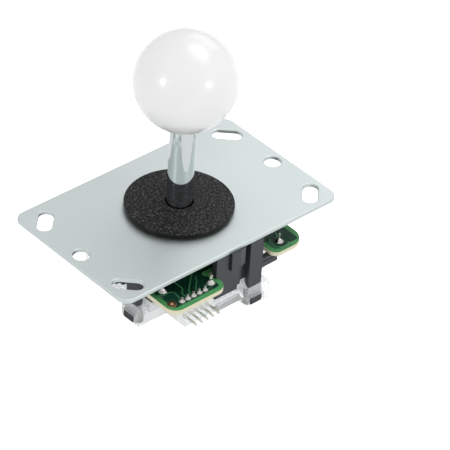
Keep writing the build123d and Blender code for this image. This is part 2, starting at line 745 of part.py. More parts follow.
# Restrictor gate: a floor in the form of a pinwheel with an arm on each side, a square opening
# in a collar that stops the actuator, low walls, and on each arm a bar that the leg's hook holds
floor_top = gate_bottom + gate_floor
arm_reach = side_face + hook_reach + hook_cover
window_start = leg_start - loose_fit
window_end = leg_end + loose_fit
window_back = -side_face + leg_thickness + loose_fit
gate_step = window_start - arm_inner_post
arm_end = window_end + arm_outer_post
with BuildPart() as restrictor_gate:
    with BuildSketch(Plane.XY.offset(gate_bottom)):
        with PolarLocations(0, 4):
            box_sketch(-gate_inset, gate_step, -gate_edge, 0)
            box_sketch(gate_step, arm_end, -arm_reach, 0)
        with PolarLocations(0, 4):
            with Locations(((window_start + window_end) / 2, (window_back - arm_reach) / 2)):
                Rectangle(window_end - window_start, window_back + arm_reach, mode=Mode.SUBTRACT)
        RectangleRounded(2 * opening_half, 2 * opening_half, opening_corner, mode=Mode.SUBTRACT)
    extrude(amount=gate_floor)
    with BuildSketch(Plane.XY.offset(floor_top)):
        with PolarLocations(0, 4):
            box_sketch(-gate_inset, gate_step, -gate_edge, 0)
        offset(amount=-gate_wall, kind=Kind.INTERSECTION, mode=Mode.SUBTRACT)
    extrude(amount=gate_wall_top - floor_top)
    with BuildSketch(Plane.XY.offset(floor_top)):
        collar_size = 2 * (opening_half + collar_wall)
        RectangleRounded(collar_size, collar_size, opening_corner + collar_wall)
        RectangleRounded(2 * opening_half, 2 * opening_half, opening_corner, mode=Mode.SUBTRACT)
    extrude(amount=collar_top - floor_top)
    with BuildSketch(Plane.XY.offset(gate_bottom)):
        with PolarLocations(0, 4):
            box_sketch(gate_step, arm_end, -gate_edge, -gate_edge + gate_wall)
    extrude(amount=gate_wall_top - gate_bottom)
    with BuildSketch(Plane.XY.offset(gate_bottom)):
        with PolarLocations(0, 4):
            box_sketch(window_end, arm_end, -arm_reach, -gate_inset)
    extrude(amount=arm_top - gate_bottom)
    for quarter in range(4):
        with BuildSketch(turned(Plane.YZ.offset(gate_step), quarter)):
            with BuildLine():
                Polyline((-gate_edge + gate_wall, gate_bottom), (-gate_edge + gate_wall, gate_wall_top),
                         (-gate_edge - gate_wall, gate_wall_top), (-side_face, arm_top),
                         (-arm_reach, arm_top), (-arm_reach, gate_bottom), close=True)
            make_face()
        extrude(amount=arm_inner_post)
        with BuildSketch(turned(Plane.YZ.offset(gate_step), quarter)):
            box_sketch(-arm_reach, -side_face - loose_fit, bar_bottom, arm_top)
        extrude(amount=arm_end - gate_step)
        with BuildSketch(turned(Plane.YZ.offset(gate_step), quarter)):
            Polygon((-arm_reach, arm_top), (-arm_reach + bar_bevel, arm_top),
                    (-arm_reach, arm_top - bar_bevel), align=None)
        extrude(amount=arm_end - gate_step, mode=Mode.SUBTRACT)
    with BuildSketch(Plane.XY.offset(gate_bottom)):
        with PolarLocations(0, 4):
            box_sketch(gate_step, gate_step + arm_corner, -arm_reach, -arm_reach + arm_corner)
        with PolarLocations(0, 4):
            with Locations((gate_step + arm_corner, arm_corner - arm_reach)):
                Circle(arm_corner, mode=Mode.SUBTRACT)
    extrude(amount=arm_top - gate_bottom, mode=Mode.SUBTRACT)
    with BuildSketch(Plane.XY.offset(wing_bottom)):
        with PolarLocations(0, 4):
            box_sketch(gate_step - wing_length, gate_step, -gate_edge - wing_depth, -gate_edge)
    extrude(amount=wing_thickness)
restrictor_gate.part.label = "restrictor_gate"
export_step(restrictor_gate.part, "parts/restrictor_gate.step")
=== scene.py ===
# %% [markdown]
# # A ball-top lever
# This lesson dresses the lever of a game console's control panel. The solids come from a CAD
# file, already in metres and in their place. Some of them keep their shape and get a finish of
# nodes, and others are replaced by a finer piece of the same size.

# %% Load the solids
import math
import bpy
import bmesh
from mathutils import Matrix, Vector


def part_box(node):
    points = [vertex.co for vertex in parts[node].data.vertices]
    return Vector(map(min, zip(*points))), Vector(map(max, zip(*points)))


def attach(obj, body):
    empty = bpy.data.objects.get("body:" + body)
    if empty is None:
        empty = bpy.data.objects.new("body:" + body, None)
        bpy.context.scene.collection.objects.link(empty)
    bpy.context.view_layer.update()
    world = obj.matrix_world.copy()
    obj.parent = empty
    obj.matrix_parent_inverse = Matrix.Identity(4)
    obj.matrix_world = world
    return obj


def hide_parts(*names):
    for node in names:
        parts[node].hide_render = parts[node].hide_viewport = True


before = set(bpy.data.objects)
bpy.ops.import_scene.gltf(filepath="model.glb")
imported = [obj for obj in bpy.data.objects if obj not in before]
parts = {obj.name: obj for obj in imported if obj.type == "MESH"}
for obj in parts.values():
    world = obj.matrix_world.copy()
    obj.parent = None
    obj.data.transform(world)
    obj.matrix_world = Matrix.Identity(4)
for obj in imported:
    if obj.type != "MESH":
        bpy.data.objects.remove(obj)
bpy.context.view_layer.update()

MM = 0.001

# %% [markdown]
# The camera stands where the photographer stood: to the front left and well above, and far off
# behind a long lens, so that the plate's sides look almost parallel. The lens and the place were
# found by matching known sizes. Making the camera first means that every later choice is seen
# through it.

# %% Camera
camera_place = Vector((-0.5728, -0.6194, 0.6376))
camera_heading = -43.837
camera_tilt = 52.639
camera_roll = 3.775
camera_data = bpy.data.cameras.new("camera")
camera_data.sensor_width = 36.0
camera_data.lens = 251.48
camera = bpy.data.objects.new("camera", camera_data)
bpy.context.scene.collection.objects.link(camera)
camera.matrix_world = (Matrix.Translation(camera_place)
                       @ Matrix.Rotation(math.radians(camera_heading), 4, "Z")
                       @ Matrix.Rotation(math.radians(camera_tilt), 4, "X")
                       @ Matrix.Rotation(math.radians(camera_roll), 4, "Z"))
bpy.context.scene.camera = camera
print("camera", [round(v, 3) for v in camera.location])

# %% [markdown]
# Every finish below is a small graph of nodes round one Principled shader. A few helpers keep the
# cells short. The first ones add a node and fill its sockets. Then comes one that starts a
# material whose patterns read Object coordinates, which stay put when a piece moves, and the last
# ones make what most finishes need: noise, a mix of colours, an edge mask for worn edges and
# painted edge shade, and relief.

# %% Node helpers
bevel_samples = 6


def add_node(tree, kind, sockets=None, **settings):
    made = tree.nodes.new(kind)
    for name, value in settings.items():
        setattr(made, name, value)
    for name, value in (sockets or {}).items():
        made.inputs[name].default_value = value
    return made


def join(tree, source, target):
    tree.links.new(source, target)


def feed(tree, value, socket):
    """Writes a number in a socket, or joins another socket to it."""
    if isinstance(value, (int, float)):
        socket.default_value = value if socket.type == "VALUE" else (value, value, value)
    else:
        join(tree, value, socket)


def maths(tree, operation, *values):
    """A Math node, whose values are numbers or sockets."""
    made = add_node(tree, "ShaderNodeMath", operation=operation)
    for value, socket in zip(values, made.inputs):
        feed(tree, value, socket)
    return made.outputs[0]


def start_material(name, colour, roughness, **sockets):
    """A new material, with its shader and a node that gives Object coordinates."""
    material = bpy.data.materials.new(name)
    material.use_nodes = True
    tree = material.node_tree
    shader = tree.nodes["Principled BSDF"]
    shader.inputs["Base Color"].default_value = (*colour, 1.0)
    shader.inputs["Roughness"].default_value = roughness
    for socket, value in sockets.items():
        shader.inputs[socket.replace("_", " ")].default_value = value
    place = add_node(tree, "ShaderNodeTexCoord")
    return material, tree, shader, place.outputs["Object"]


def noise(tree, place, size, detail=3.0, roughness=0.5):
    """Noise whose blotches are about size metres across."""
    made = add_node(tree, "ShaderNodeTexNoise", {"Scale": 1.0 / size, "Detail": detail,
                                                 "Roughness": roughness})
    join(tree, place, made.inputs["Vector"])
    return made.outputs["Fac"]


def spread(tree, factor, low, high, start=0.3, stop=0.7):
    """Maps start to stop, which is the middle of a noise, on to low to high."""
    made = add_node(tree, "ShaderNodeMapRange", {"From Min": start, "From Max": stop,
                                                 "To Min": low, "To Max": high})
    join(tree, factor, made.inputs["Value"])
    return made.outputs["Result"]


def blend_colour(tree, factor, first, second):
    """Mixes two colours. A Mix node keeps them in its inputs 6 and 7 and its output 2."""
    made = add_node(tree, "ShaderNodeMix", data_type="RGBA")
    join(tree, factor, made.inputs["Factor"])
    for socket, colour in ((made.inputs[6], first), (made.inputs[7], second)):
        if isinstance(colour, tuple):
            socket.default_value = (*colour, 1.0)
        else:
            join(tree, colour, socket)
    return made.outputs[2]


# An edge mask: edge wear on the moulded plastics, and painted shade along the clear gate's edges.
def edge_wear_and_shade(tree, radius, width=0.25):
    """1 on a sharp edge and 0 on a flat, from how far a bevel would turn the normal."""
    bevel = add_node(tree, "ShaderNodeBevel", {"Radius": radius}, samples=bevel_samples)
    flat = add_node(tree, "ShaderNodeNewGeometry")
    dot = add_node(tree, "ShaderNodeVectorMath", operation="DOT_PRODUCT")
    join(tree, bevel.outputs["Normal"], dot.inputs[0])
    join(tree, flat.outputs["Normal"], dot.inputs[1])
    return spread(tree, dot.outputs["Value"], 1.0, 0.0, 1.0 - width, 1.0)


def relief(tree, shader, factor, depth, strength=1.0, corner=None):
    """Bump from a pattern, over normals that are rounded at the edges when corner is given."""
    bump = add_node(tree, "ShaderNodeBump", {"Strength": strength, "Distance": depth})
    join(tree, factor, bump.inputs["Height"])
    if corner:
        bevel = add_node(tree, "ShaderNodeBevel", {"Radius": corner}, samples=bevel_samples)
        join(tree, bevel.outputs["Normal"], bump.inputs["Normal"])
    join(tree, bump.outputs["Normal"], shader.inputs["Normal"])


print("helpers ready")

# %% [markdown]
# Most hidden and half-hidden pieces are moulded plastic. A mould leaves a fine even texture, and
# corners that catch the light a little, so one function makes them all: noise for the texture,
# wider noise for a roughness that drifts, and a bevelled normal for the corners.

# %% Moulded plastics
drift_size = 9 * MM
smoother, rougher = 0.06, 0.08
pale_drift, pale_corner = 0.25, 0.5


def moulded(name, colour, roughness, grain=0.35 * MM, depth=0.012 * MM, corner=0.12 * MM,
            lift=1.6):
    """Lift is how many times paler the worn corners are."""
    material, tree, shader, place = start_material(name, colour, roughness)
    fine = noise(tree, place, grain)
    wide = noise(tree, place, drift_size)
    relief(tree, shader, fine, depth, 0.6, corner)
    join(tree, spread(tree, wide, roughness - smoother, roughness + rougher),
         shader.inputs["Roughness"])
    pale = tuple(min(1.0, c * lift + 0.01) for c in colour)
    drift = blend_colour(tree, spread(tree, wide, 0.0, pale_drift), colour, pale)
    edge = spread(tree, edge_wear_and_shade(tree, corner), 0.0, pale_corner, 0.0, 1.0)
    join(tree, blend_colour(tree, edge, drift, pale), shader.inputs["Base Color"])
    return material


plastics = {
    "housing plastic": ((0.027, 0.031, 0.036), 0.40, {}),
    "actuator plastic": ((0.022, 0.022, 0.024), 0.35, {"depth": 0.006 * MM}),
    "switch case plastic": ((0.020, 0.020, 0.022), 0.45, {}),
    "switch cover plastic": ((0.055, 0.055, 0.060), 0.40, {}),
    "plunger plastic": ((0.55, 0.045, 0.030), 0.30, {"depth": 0.004 * MM, "lift": 1.2}),
    "pivot plastic": ((0.80, 0.79, 0.75), 0.30, {"depth": 0.004 * MM, "lift": 1.05}),
    "header plastic": ((0.86, 0.86, 0.83), 0.34, {"depth": 0.006 * MM, "lift": 1.05}),
}
finishes = {name: moulded(name, colour, roughness, **texture)
            for name, (colour, roughness, texture) in plastics.items()}
print("plastics:", sorted(finishes))

# %% [markdown]
# The metals differ in how they were made. The plate is zinc on pressed steel, so it is pale, satin
# and a little cloudy. The shaft is chromed and polished. Screws, clip, seat and spring are bright
# drawn or turned steel, the bush is brass, and the pins, terminals and links are tinned.

# %% Metals
dull_share = 0.86


def metal(name, colour, roughness, cloud=6 * MM, scratch=0.25 * MM, depth=0.002 * MM,
          corner=0.1 * MM):
    """Cloud and scratch are the sizes of the wide and the fine pattern."""
    material, tree, shader, place = start_material(name, colour, roughness, Metallic=1.0)
    wide = noise(tree, place, cloud)
    fine = noise(tree, place, scratch, 4.0, 0.65)
    join(tree, spread(tree, wide, roughness * 0.8, roughness * 1.25), shader.inputs["Roughness"])
    dull = tuple(c * dull_share for c in colour)
    join(tree, blend_colour(tree, spread(tree, fine, 0.0, 0.6), colour, dull),
         shader.inputs["Base Color"])
    relief(tree, shader, fine, depth, 0.5, corner)
    return material


metals = {
    "plate zinc": ((0.66, 0.72, 0.715), 0.46,
                   {"cloud": 60 * MM, "scratch": 0.12 * MM, "depth": 0.0012 * MM,
                    "corner": 0.12 * MM}),
    "shaft chrome": ((0.665, 0.70, 0.71), 0.05,
                     {"cloud": 8 * MM, "scratch": 0.5 * MM, "depth": 0.0, "corner": 0.05 * MM}),
    "screw steel": ((0.62, 0.63, 0.64), 0.28, {}),
    "spring steel": ((0.52, 0.52, 0.54), 0.25, {}),
    "bush brass": ((0.75, 0.58, 0.28), 0.25, {}),
    "tinned metal": ((0.90, 0.89, 0.85), 0.30, {"cloud": 2 * MM}),
    "solder": ((0.60, 0.59, 0.57), 0.12,
               {"cloud": 0.8 * MM, "scratch": 0.2 * MM, "depth": 0.006 * MM, "corner": 0.0}),
    "bare copper": ((0.80, 0.45, 0.26), 0.30, {"cloud": 1.5 * MM}),
}
for name, (colour, roughness, texture) in metals.items():
    finishes[name] = metal(name, colour, roughness, **texture)
print("metals:", sorted(metals))

# %% [markdown]
# The ball is polished white plastic. It is a little see-through near its surface, which softens its
# shading, and its gloss comes from a hard clear top layer.

# %% Ball finish
ball_white, ball_shade = (0.80, 0.80, 0.80), (0.79, 0.79, 0.795)
material, tree, shader, place = start_material(
    "ball plastic", ball_white, 0.24, Coat_Weight=0.7, Coat_Roughness=0.17,
    Subsurface_Weight=1.0, Subsurface_Scale=10 * MM, Subsurface_Radius=(1, 1, 1))
cloud = spread(tree, noise(tree, place, 12 * MM), 0.0, 1.0)
join(tree, blend_colour(tree, cloud, ball_white, ball_shade), shader.inputs["Base Color"])
relief(tree, shader, noise(tree, place, 5 * MM), 0.003 * MM, 0.3)
finishes["ball plastic"] = material
print("ball finish ready")

# %% [markdown]
# The washers are black plastic, and the upper one has a leather grain. Its pattern is cells with
# creases between them: the distance to the nearest edge of a Voronoi cell is small in a crease.
# Noise bends the cells first, or they would look like cut glass. The same nodes work in a material
# and in a geometry tree, so one function makes the pattern for both, and the two fit each other.

# %% Leather pattern
pebble_size = 1.05 * MM
leather_seed = 4.0
swirl_scale = 1400.0
swirl_reach = 0.9 * MM


def leather_distance(tree, place, scale, seed):
    """How far a point is from the nearest crease, about 0 to 0.4 of a pebble."""
    swirl = add_node(tree, "ShaderNodeTexNoise", {"Scale": swirl_scale, "Detail": 2.0})
    join(tree, place, swirl.inputs["Vector"])
    bend = add_node(tree, "ShaderNodeVectorMath", {"Scale": swirl_reach}, operation="SCALE")
    join(tree, swirl.outputs["Color"], bend.inputs[0])
    bent = add_node(tree, "ShaderNodeVectorMath", operation="ADD")
    join(tree, place, bent.inputs[0])
    join(tree, bend.outputs[0], bent.inputs[1])
    shift = add_node(tree, "ShaderNodeVectorMath", operation="ADD")
    join(tree, bent.outputs[0], shift.inputs[0])
    feed(tree, seed, shift.inputs[1])
    cells = add_node(tree, "ShaderNodeTexVoronoi", feature="DISTANCE_TO_EDGE")
    join(tree, shift.outputs[0], cells.inputs["Vector"])
    feed(tree, scale, cells.inputs["Scale"])
    return cells.outputs["Distance"]


print("leather pattern ready")

# %% [markdown]
# The relief itself is made further on. The finish adds a dull black under a thin gloss. Its
# creases are painted paler in places, but only where the face looks up: painted glints, for
# the highlights that lamps would leave on the crease slopes.

# %% Washer finish
washer_black, washer_glint_paint = (0.0025, 0.0025, 0.003), (0.085, 0.085, 0.09)
material, tree, shader, place = start_material(
    "washer plastic", washer_black, 0.24, Specular_IOR_Level=0.15, Coat_Weight=0.08,
    Coat_Roughness=0.08)
# Painted glints: pale patches on the creases of upward faces, standing in for lamp highlights.
glint_patches = spread(tree, noise(tree, place, 1.2 * MM), 0.0, 1.0, 0.46, 0.62)
crease = spread(tree, leather_distance(tree, place, 1.0 / pebble_size, leather_seed),
                1.0, 0.0, 0.03, 0.13)
facing = add_node(tree, "ShaderNodeSeparateXYZ")
join(tree, add_node(tree, "ShaderNodeTexCoord").outputs["Normal"], facing.inputs[0])
pale = spread(tree, facing.outputs["Z"], 0.0, 1.0, 0.5, 0.9)
for share in (glint_patches, crease):
    pale = maths(tree, "MULTIPLY", pale, share)
join(tree, spread(tree, noise(tree, place, 5 * MM), 0.18, 0.28), shader.inputs["Roughness"])
join(tree, blend_colour(tree, pale, washer_black, washer_glint_paint), shader.inputs["Base Color"])
relief(tree, shader, noise(tree, place, 0.2 * MM), 0.006 * MM, 0.5)
finishes["washer plastic"] = material
print("washer finish ready")

# %% [markdown]
# The gate is clear plastic, and its many walls and a light mould haze make it look like ice. With
# the real index of refraction, light is turned back inside the thick walls, and they look black
# under the plate. So this shader bends light less than the real plastic does. A fifth of it is
# plain pale colour for the haze, a clear coat brings back the gloss, and the edges are painted
# grey: painted shade for the dark lines that bent light leaves along the edges of clear plastic.

# %% Clear plastic
gate_pale, gate_edge_shade = (0.96, 0.975, 0.98), (0.50, 0.53, 0.55)
material, tree, shader, place = start_material(
    "clear plastic", gate_pale, 0.16, Transmission_Weight=0.78, IOR=1.12, Coat_Weight=1.0,
    Coat_Roughness=0.05)
join(tree, spread(tree, noise(tree, place, 4 * MM), 0.02, 0.10), shader.inputs["Roughness"])
relief(tree, shader, noise(tree, place, 1.5 * MM), 0.02 * MM, 0.3, 0.25 * MM)
# Painted shade: the edges are painted grey, for the dark lines that bent light leaves along clear
# plastic.
join(tree, blend_colour(tree, edge_wear_and_shade(tree, 0.22 * MM, 0.15), gate_pale, gate_edge_shade),
     shader.inputs["Base Color"])
finishes["clear plastic"] = material
print("clear plastic ready")

# %% [markdown]
# A circuit board is a glass laminate under a green resist. Where copper lies beneath, the resist
# looks dark, and here all of the inside is painted darker still, in blotches, as painted shade
# for the plate's shadow. It is lighter in the bare strip along the board's edge. That strip follows
# the outline, so the material works out how deep a point lies inside it: the depth inside a
# rectangle is the least of its distances to the four sides, and a notch is a rectangle taken away.

# %% Depth inside the board's outline
board_half = 30.9 * MM
lobe_front = 33.9 * MM
lobe_side = -7.2 * MM
notch_sides = (-8.1 * MM, 16.5 * MM)
notch_floor = 24.9 * MM
far_away = 1.0
bare_strip = 1.9 * MM
corner_round = 2 * MM


def depth_in_rectangle(tree, x, y, x_sides, y_sides):
    """Metres from the nearest side, less than 0 outside."""
    nearest = None
    for value, (low, high) in ((x, x_sides), (y, y_sides)):
        for depth in (maths(tree, "SUBTRACT", value, low), maths(tree, "SUBTRACT", high, value)):
            nearest = (depth if nearest is None
                       else maths(tree, "SMOOTH_MIN", nearest, depth, corner_round))
    return nearest


def depth_in_board(tree, place):
    split = add_node(tree, "ShaderNodeSeparateXYZ")
    join(tree, place, split.inputs[0])
    x, y = split.outputs["X"], split.outputs["Y"]
    back_x, back_y = maths(tree, "MULTIPLY", x, -1.0), maths(tree, "MULTIPLY", y, -1.0)
    depth = depth_in_rectangle(tree, x, y, (-board_half, board_half), (-board_half, board_half))
    for across, along in ((x, y), (y, back_x), (back_x, back_y), (back_y, x)):
        notch = depth_in_rectangle(tree, across, along, notch_sides, (-far_away, -notch_floor))
        depth = maths(tree, "MINIMUM", depth, maths(tree, "MULTIPLY", notch, -1.0))
    lobe = depth_in_rectangle(tree, x, y, (-board_half, lobe_side),
                              (-lobe_front, -notch_floor + bare_strip))
    return maths(tree, "MAXIMUM", depth, lobe)


print("outline of the board known to the material")

# %% [markdown]
# The board's top and bottom show resist, and its sawn edge shows the pale laminate in thin
# layers. All live in one material: the way that a face points tells them apart.

# %% Circuit board
bare_green, copper_and_shade_green = (0.085, 0.33, 0.115), (0.009, 0.062, 0.035)
deep_shade_green = (0.004, 0.025, 0.014)
laminate_green, laminate_buff = (0.68, 0.66, 0.45), (0.80, 0.74, 0.58)
strip_blur = 0.15 * MM
layer_size = 1.2 * MM
material, tree, shader, place = start_material("board", copper_and_shade_green, 0.22,
                                               Specular_IOR_Level=0.35)
facing = add_node(tree, "ShaderNodeNewGeometry")
split = add_node(tree, "ShaderNodeSeparateXYZ")
join(tree, facing.outputs["Normal"], split.inputs[0])
flat_share = spread(tree, maths(tree, "ABSOLUTE", split.outputs["Z"]), 0.0, 1.0, 0.4, 0.6)
weave = noise(tree, place, 1.2 * MM)
# Painted shade: the inside of the board is painted darker than resist over copper is, in blotches,
# for the shade under the plate.
copper = blend_colour(tree, spread(tree, noise(tree, place, 7 * MM), 0.0, 1.0),
                      deep_shade_green, copper_and_shade_green)
inside = spread(tree, depth_in_board(tree, place), 0.0, 1.0,
                bare_strip - strip_blur, bare_strip + strip_blur)
resist = blend_colour(tree, inside, bare_green, copper)
layers = add_node(tree, "ShaderNodeTexWave", {"Scale": 1.0 / layer_size, "Distortion": 1.5},
                  bands_direction="Z")
join(tree, place, layers.inputs["Vector"])
laminate = blend_colour(tree, layers.outputs["Fac"], laminate_green, laminate_buff)
join(tree, blend_colour(tree, flat_share, laminate, resist), shader.inputs["Base Color"])
join(tree, spread(tree, flat_share, 0.6, 0.22, 0.0, 1.0), shader.inputs["Roughness"])
relief(tree, shader, weave, 0.01 * MM, 0.3, 0.06 * MM)
finishes["board"] = material
finishes["resist over copper"] = moulded("resist over copper", (0.045, 0.20, 0.085), 0.22,
                                         depth=0.003 * MM, lift=1.1)
print("board ready")

# %% [markdown]
# Each solid that keeps its CAD shape now gets its finish. A table from node to finish is easier to
# check than thirty separate lines.

# %% Give the solids their finishes
node_finish = {
    "mounting_plate": "plate zinc", "plate_screws": "screw steel", "ball_top": "ball plastic",
    "ball_insert": "bush brass", "shaft": "shaft chrome", "dust_washer": "washer plastic",
    "lower_dust_washer": "washer plastic", "pivot_ball": "pivot plastic",
    "housing": "housing plastic", "spring_seat": "screw steel", "centring_spring": "spring steel",
    "actuator": "actuator plastic", "e_clip": "spring steel", "circuit_board": "board",
    "header_body": "header plastic", "header_pins": "tinned metal",
    "switch_terminals": "tinned metal", "wire_links": "tinned metal", "solder_joints": "solder",
    "restrictor_gate": "clear plastic",
}
for side in ("front", "right", "back", "left"):
    node_finish[f"switch_case_{side}"] = "switch case plastic"
    node_finish[f"switch_cover_{side}"] = "switch cover plastic"
    node_finish[f"plunger_{side}"] = "plunger plastic"
for name, finish in node_finish.items():
    for slot in parts[name].material_slots:
        slot.material = finishes[finish]
print("finished solids:", len(node_finish), "left over:", sorted(set(parts) - set(node_finish)))

# %% [markdown]
# The ball and the washer are what the eye goes to, and a CAD solid's coarse facets would show in
# them. Each is a turned shape, so a profile is spun round the lever's axis in many fine steps. Spin
# can leave a seam and turned-in faces, so doubles are merged and the normals are worked out again.

# %% Turned pieces
seam_gap = 0.0005 * MM


def arc(centre, radius, start, stop, steps):
    """Points on an arc of a profile, from one angle to another in degrees."""
    angles = [math.radians(start + (stop - start) * i / steps) for i in range(steps + 1)]
    return [(centre[0] + radius * math.cos(a), centre[1] + radius * math.sin(a)) for a in angles]


def turned_piece(name, profile, finish, steps=128, closed=False, keep_sharp=40):
    """Spins a profile of (radius, height) points in millimetres round the Z axis."""
    mesh = bpy.data.meshes.new(name)
    form = bmesh.new()
    corners = [form.verts.new((r * MM, 0.0, z * MM)) for r, z in profile]
    edges = [form.edges.new(pair) for pair in zip(corners, corners[1:])]
    if closed:
        edges.append(form.edges.new((corners[-1], corners[0])))
    bmesh.ops.spin(form, geom=corners + edges, cent=(0, 0, 0), axis=(0, 0, 1), angle=math.tau,
                   steps=steps, use_merge=True)
    bmesh.ops.remove_doubles(form, verts=form.verts, dist=seam_gap)
    bmesh.ops.recalc_face_normals(form, faces=form.faces)
    form.to_mesh(mesh)
    form.free()
    mesh.polygons.foreach_set("use_smooth", [True] * len(mesh.polygons))
    mesh.set_sharp_from_angle(angle=math.radians(keep_sharp))
    mesh.materials.append(finishes[finish])
    piece = bpy.data.objects.new(name, mesh)
    bpy.context.scene.collection.objects.link(piece)
    return piece


print("turning helpers ready")

# %% [markdown]
# The ball is moulded round its brass bush. Its flat neck sits on the shaft's shoulder, and the
# neck's rim is broken by a small round.

# %% Ball
low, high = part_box("ball_top")
ball_radius = (high.x - low.x) / 2 / MM
ball_centre = high.z / MM - ball_radius
neck_height = low.z / MM
neck_angle = math.degrees(math.asin((ball_centre - neck_height) / ball_radius))
neck_radius = ball_radius * math.cos(math.radians(neck_angle))
neck_round, neck_inset, round_room = 0.25, 0.30, 0.8
bush_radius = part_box("ball_insert")[1].x / MM + 0.02
bush_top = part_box("ball_insert")[1].z / MM
bush_lead = 0.2
profile = arc((0, ball_centre), ball_radius, 90, -neck_angle + round_room, 96)
profile += arc((neck_radius - neck_inset, neck_height + neck_round), neck_round, -35, -90, 5)
profile += [(bush_radius + bush_lead, neck_height), (bush_radius, neck_height + bush_lead),
            (bush_radius, bush_top), (0.0, bush_top)]
ball = turned_piece("ball", profile, "ball plastic", 160)
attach(ball, "lever")
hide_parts("ball_top")
print("ball", round(ball_radius * 2, 2), "mm across, faces", len(ball.data.polygons))

# %% [markdown]
# The rest of the made pieces come from Geometry Nodes. A tree is a recipe: its inputs are named
# sizes, and it can be run again with others. The first helper starts a tree and gives it its
# inputs, the second ends it, and the third runs it on a mesh and keeps the result as a plain mesh.

# %% Geometry Nodes helpers
SOCKET_KINDS = {float: "NodeSocketFloat", int: "NodeSocketInt", "object": "NodeSocketObject"}


def start_tree(name, **inputs):
    """Each input is a number to start with, or the word object."""
    tree = bpy.data.node_groups.new(name, "GeometryNodeTree")
    for way in ("OUTPUT", "INPUT"):
        tree.interface.new_socket("Geometry", in_out=way, socket_type="NodeSocketGeometry")
    for label, value in inputs.items():
        kind = SOCKET_KINDS[value if value == "object" else type(value)]
        socket = tree.interface.new_socket(label.replace("_", " "), in_out="INPUT",
                                           socket_type=kind)
        if value != "object":
            socket.default_value = value
    tree.interface.new_socket("Finish", in_out="INPUT", socket_type="NodeSocketMaterial")
    return tree, tree.nodes.new("NodeGroupInput").outputs


def end_tree(tree, geometry, given):
    """Ends a tree in Realize Instances and Set Material."""
    solid = add_node(tree, "GeometryNodeRealizeInstances")
    coated = add_node(tree, "GeometryNodeSetMaterial")
    join(tree, geometry, solid.inputs["Geometry"])
    join(tree, solid.outputs[0], coated.inputs["Geometry"])
    join(tree, given["Finish"], coated.inputs["Material"])
    join(tree, coated.outputs[0], tree.nodes.new("NodeGroupOutput").inputs[0])


def grow(name, tree, mesh, finish, **values):
    """Runs a tree on a mesh and returns an object that holds the plain result."""
    piece = bpy.data.objects.new(name, mesh)
    bpy.context.scene.collection.objects.link(piece)
    modifier = piece.modifiers.new(name, "NODES")
    modifier.node_group = tree
    given = {label.replace("_", " "): value for label, value in values.items()}
    given["Finish"] = finishes[finish]
    for socket in tree.interface.items_tree:
        if socket.in_out == "INPUT" and socket.name in given:
            modifier[socket.identifier] = given[socket.name]
    result = piece.evaluated_get(bpy.context.evaluated_depsgraph_get())
    plain = bpy.data.meshes.new_from_object(result)
    piece.modifiers.remove(modifier)
    piece.data = plain
    plain.name = name
    print(name, "has", len(plain.polygons), "faces")
    return piece


def points_mesh(name, points, edges=()):
    """A mesh of points in millimetres, for a tree to start from."""
    mesh = bpy.data.meshes.new(name)
    mesh.from_pydata([tuple(c * MM for c in point) for point in points], edges, [])
    return mesh


print("tree helpers ready")

# %% [markdown]
# The leather grain is pressed into the mesh itself, because its glints come from real slopes. The
# tree pushes the points in a crease down, along their normal, wherever the face looks up.

# %% Leather grain tree
crease_depth = 0.17 * MM
grain, given = start_tree("leather grain", Pebble_size=pebble_size, Crease_depth=crease_depth,
                          Seed=leather_seed)
place = add_node(grain, "GeometryNodeInputPosition").outputs[0]
scale = maths(grain, "DIVIDE", 1.0, given["Pebble size"])
crease = spread(grain, leather_distance(grain, place, scale, given["Seed"]), 1.0, 0.0, 0.02, 0.26)
normal = add_node(grain, "GeometryNodeInputNormal").outputs[0]
split = add_node(grain, "ShaderNodeSeparateXYZ")
join(grain, normal, split.inputs[0])
on_top = spread(grain, split.outputs["Z"], 0.0, 1.0, 0.9, 0.99)
push = maths(grain, "MULTIPLY", maths(grain, "MULTIPLY", crease, on_top), given["Crease depth"])
offset = add_node(grain, "ShaderNodeVectorMath", operation="SCALE")
join(grain, normal, offset.inputs[0])
join(grain, maths(grain, "MULTIPLY", push, -1.0), offset.inputs["Scale"])
moved = add_node(grain, "GeometryNodeSetPosition")
join(grain, given["Geometry"], moved.inputs["Geometry"])
join(grain, offset.outputs[0], moved.inputs["Offset"])
end_tree(grain, moved.outputs[0], given)
print("grain tree has", len(grain.nodes), "nodes")

# %% [markdown]
# The washer is spun with many rings, so that the grain has points to move. Its crown is lowest
# at the rim, which is rounded.

# %% Grained washer
low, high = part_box("dust_washer")
washer_radius, washer_low, washer_high = high.x / MM, low.z / MM, high.z / MM
washer_bore, bore_edge, bore_lead = 4.85, 0.1, 0.06
rim_round, rim_lead = 0.5, 0.15
crown, crown_share = 0.55, 0.96
rings = 96
rim_centre = washer_radius - rim_round
profile = [(washer_bore, washer_low), (washer_bore, washer_high - bore_edge)]
profile += [(washer_bore + (rim_centre - washer_bore) * i / rings + bore_lead * (i == 0),
             washer_high - crown * i / rings * crown_share) for i in range(rings + 1)]
profile += arc((rim_centre, washer_high - crown - rim_round), rim_round, 70, 0, 6)
profile += [(washer_radius, washer_low + rim_lead), (washer_radius - rim_lead, washer_low)]
blank = turned_piece("washer blank", profile, "washer plastic", 600, closed=True)
washer = grow("grained_washer", grain, blank.data, "washer plastic", Pebble_size=pebble_size,
              Crease_depth=crease_depth, Seed=leather_seed)
bpy.data.objects.remove(blank)
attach(washer, "upper_washer")
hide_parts("dust_washer")

# %% [markdown]
# Each solder joint is a small concave cone, drawn up the wire by the melted metal. No two are
# quite alike, so a tree puts a copy on every point and turns and shrinks each a little.

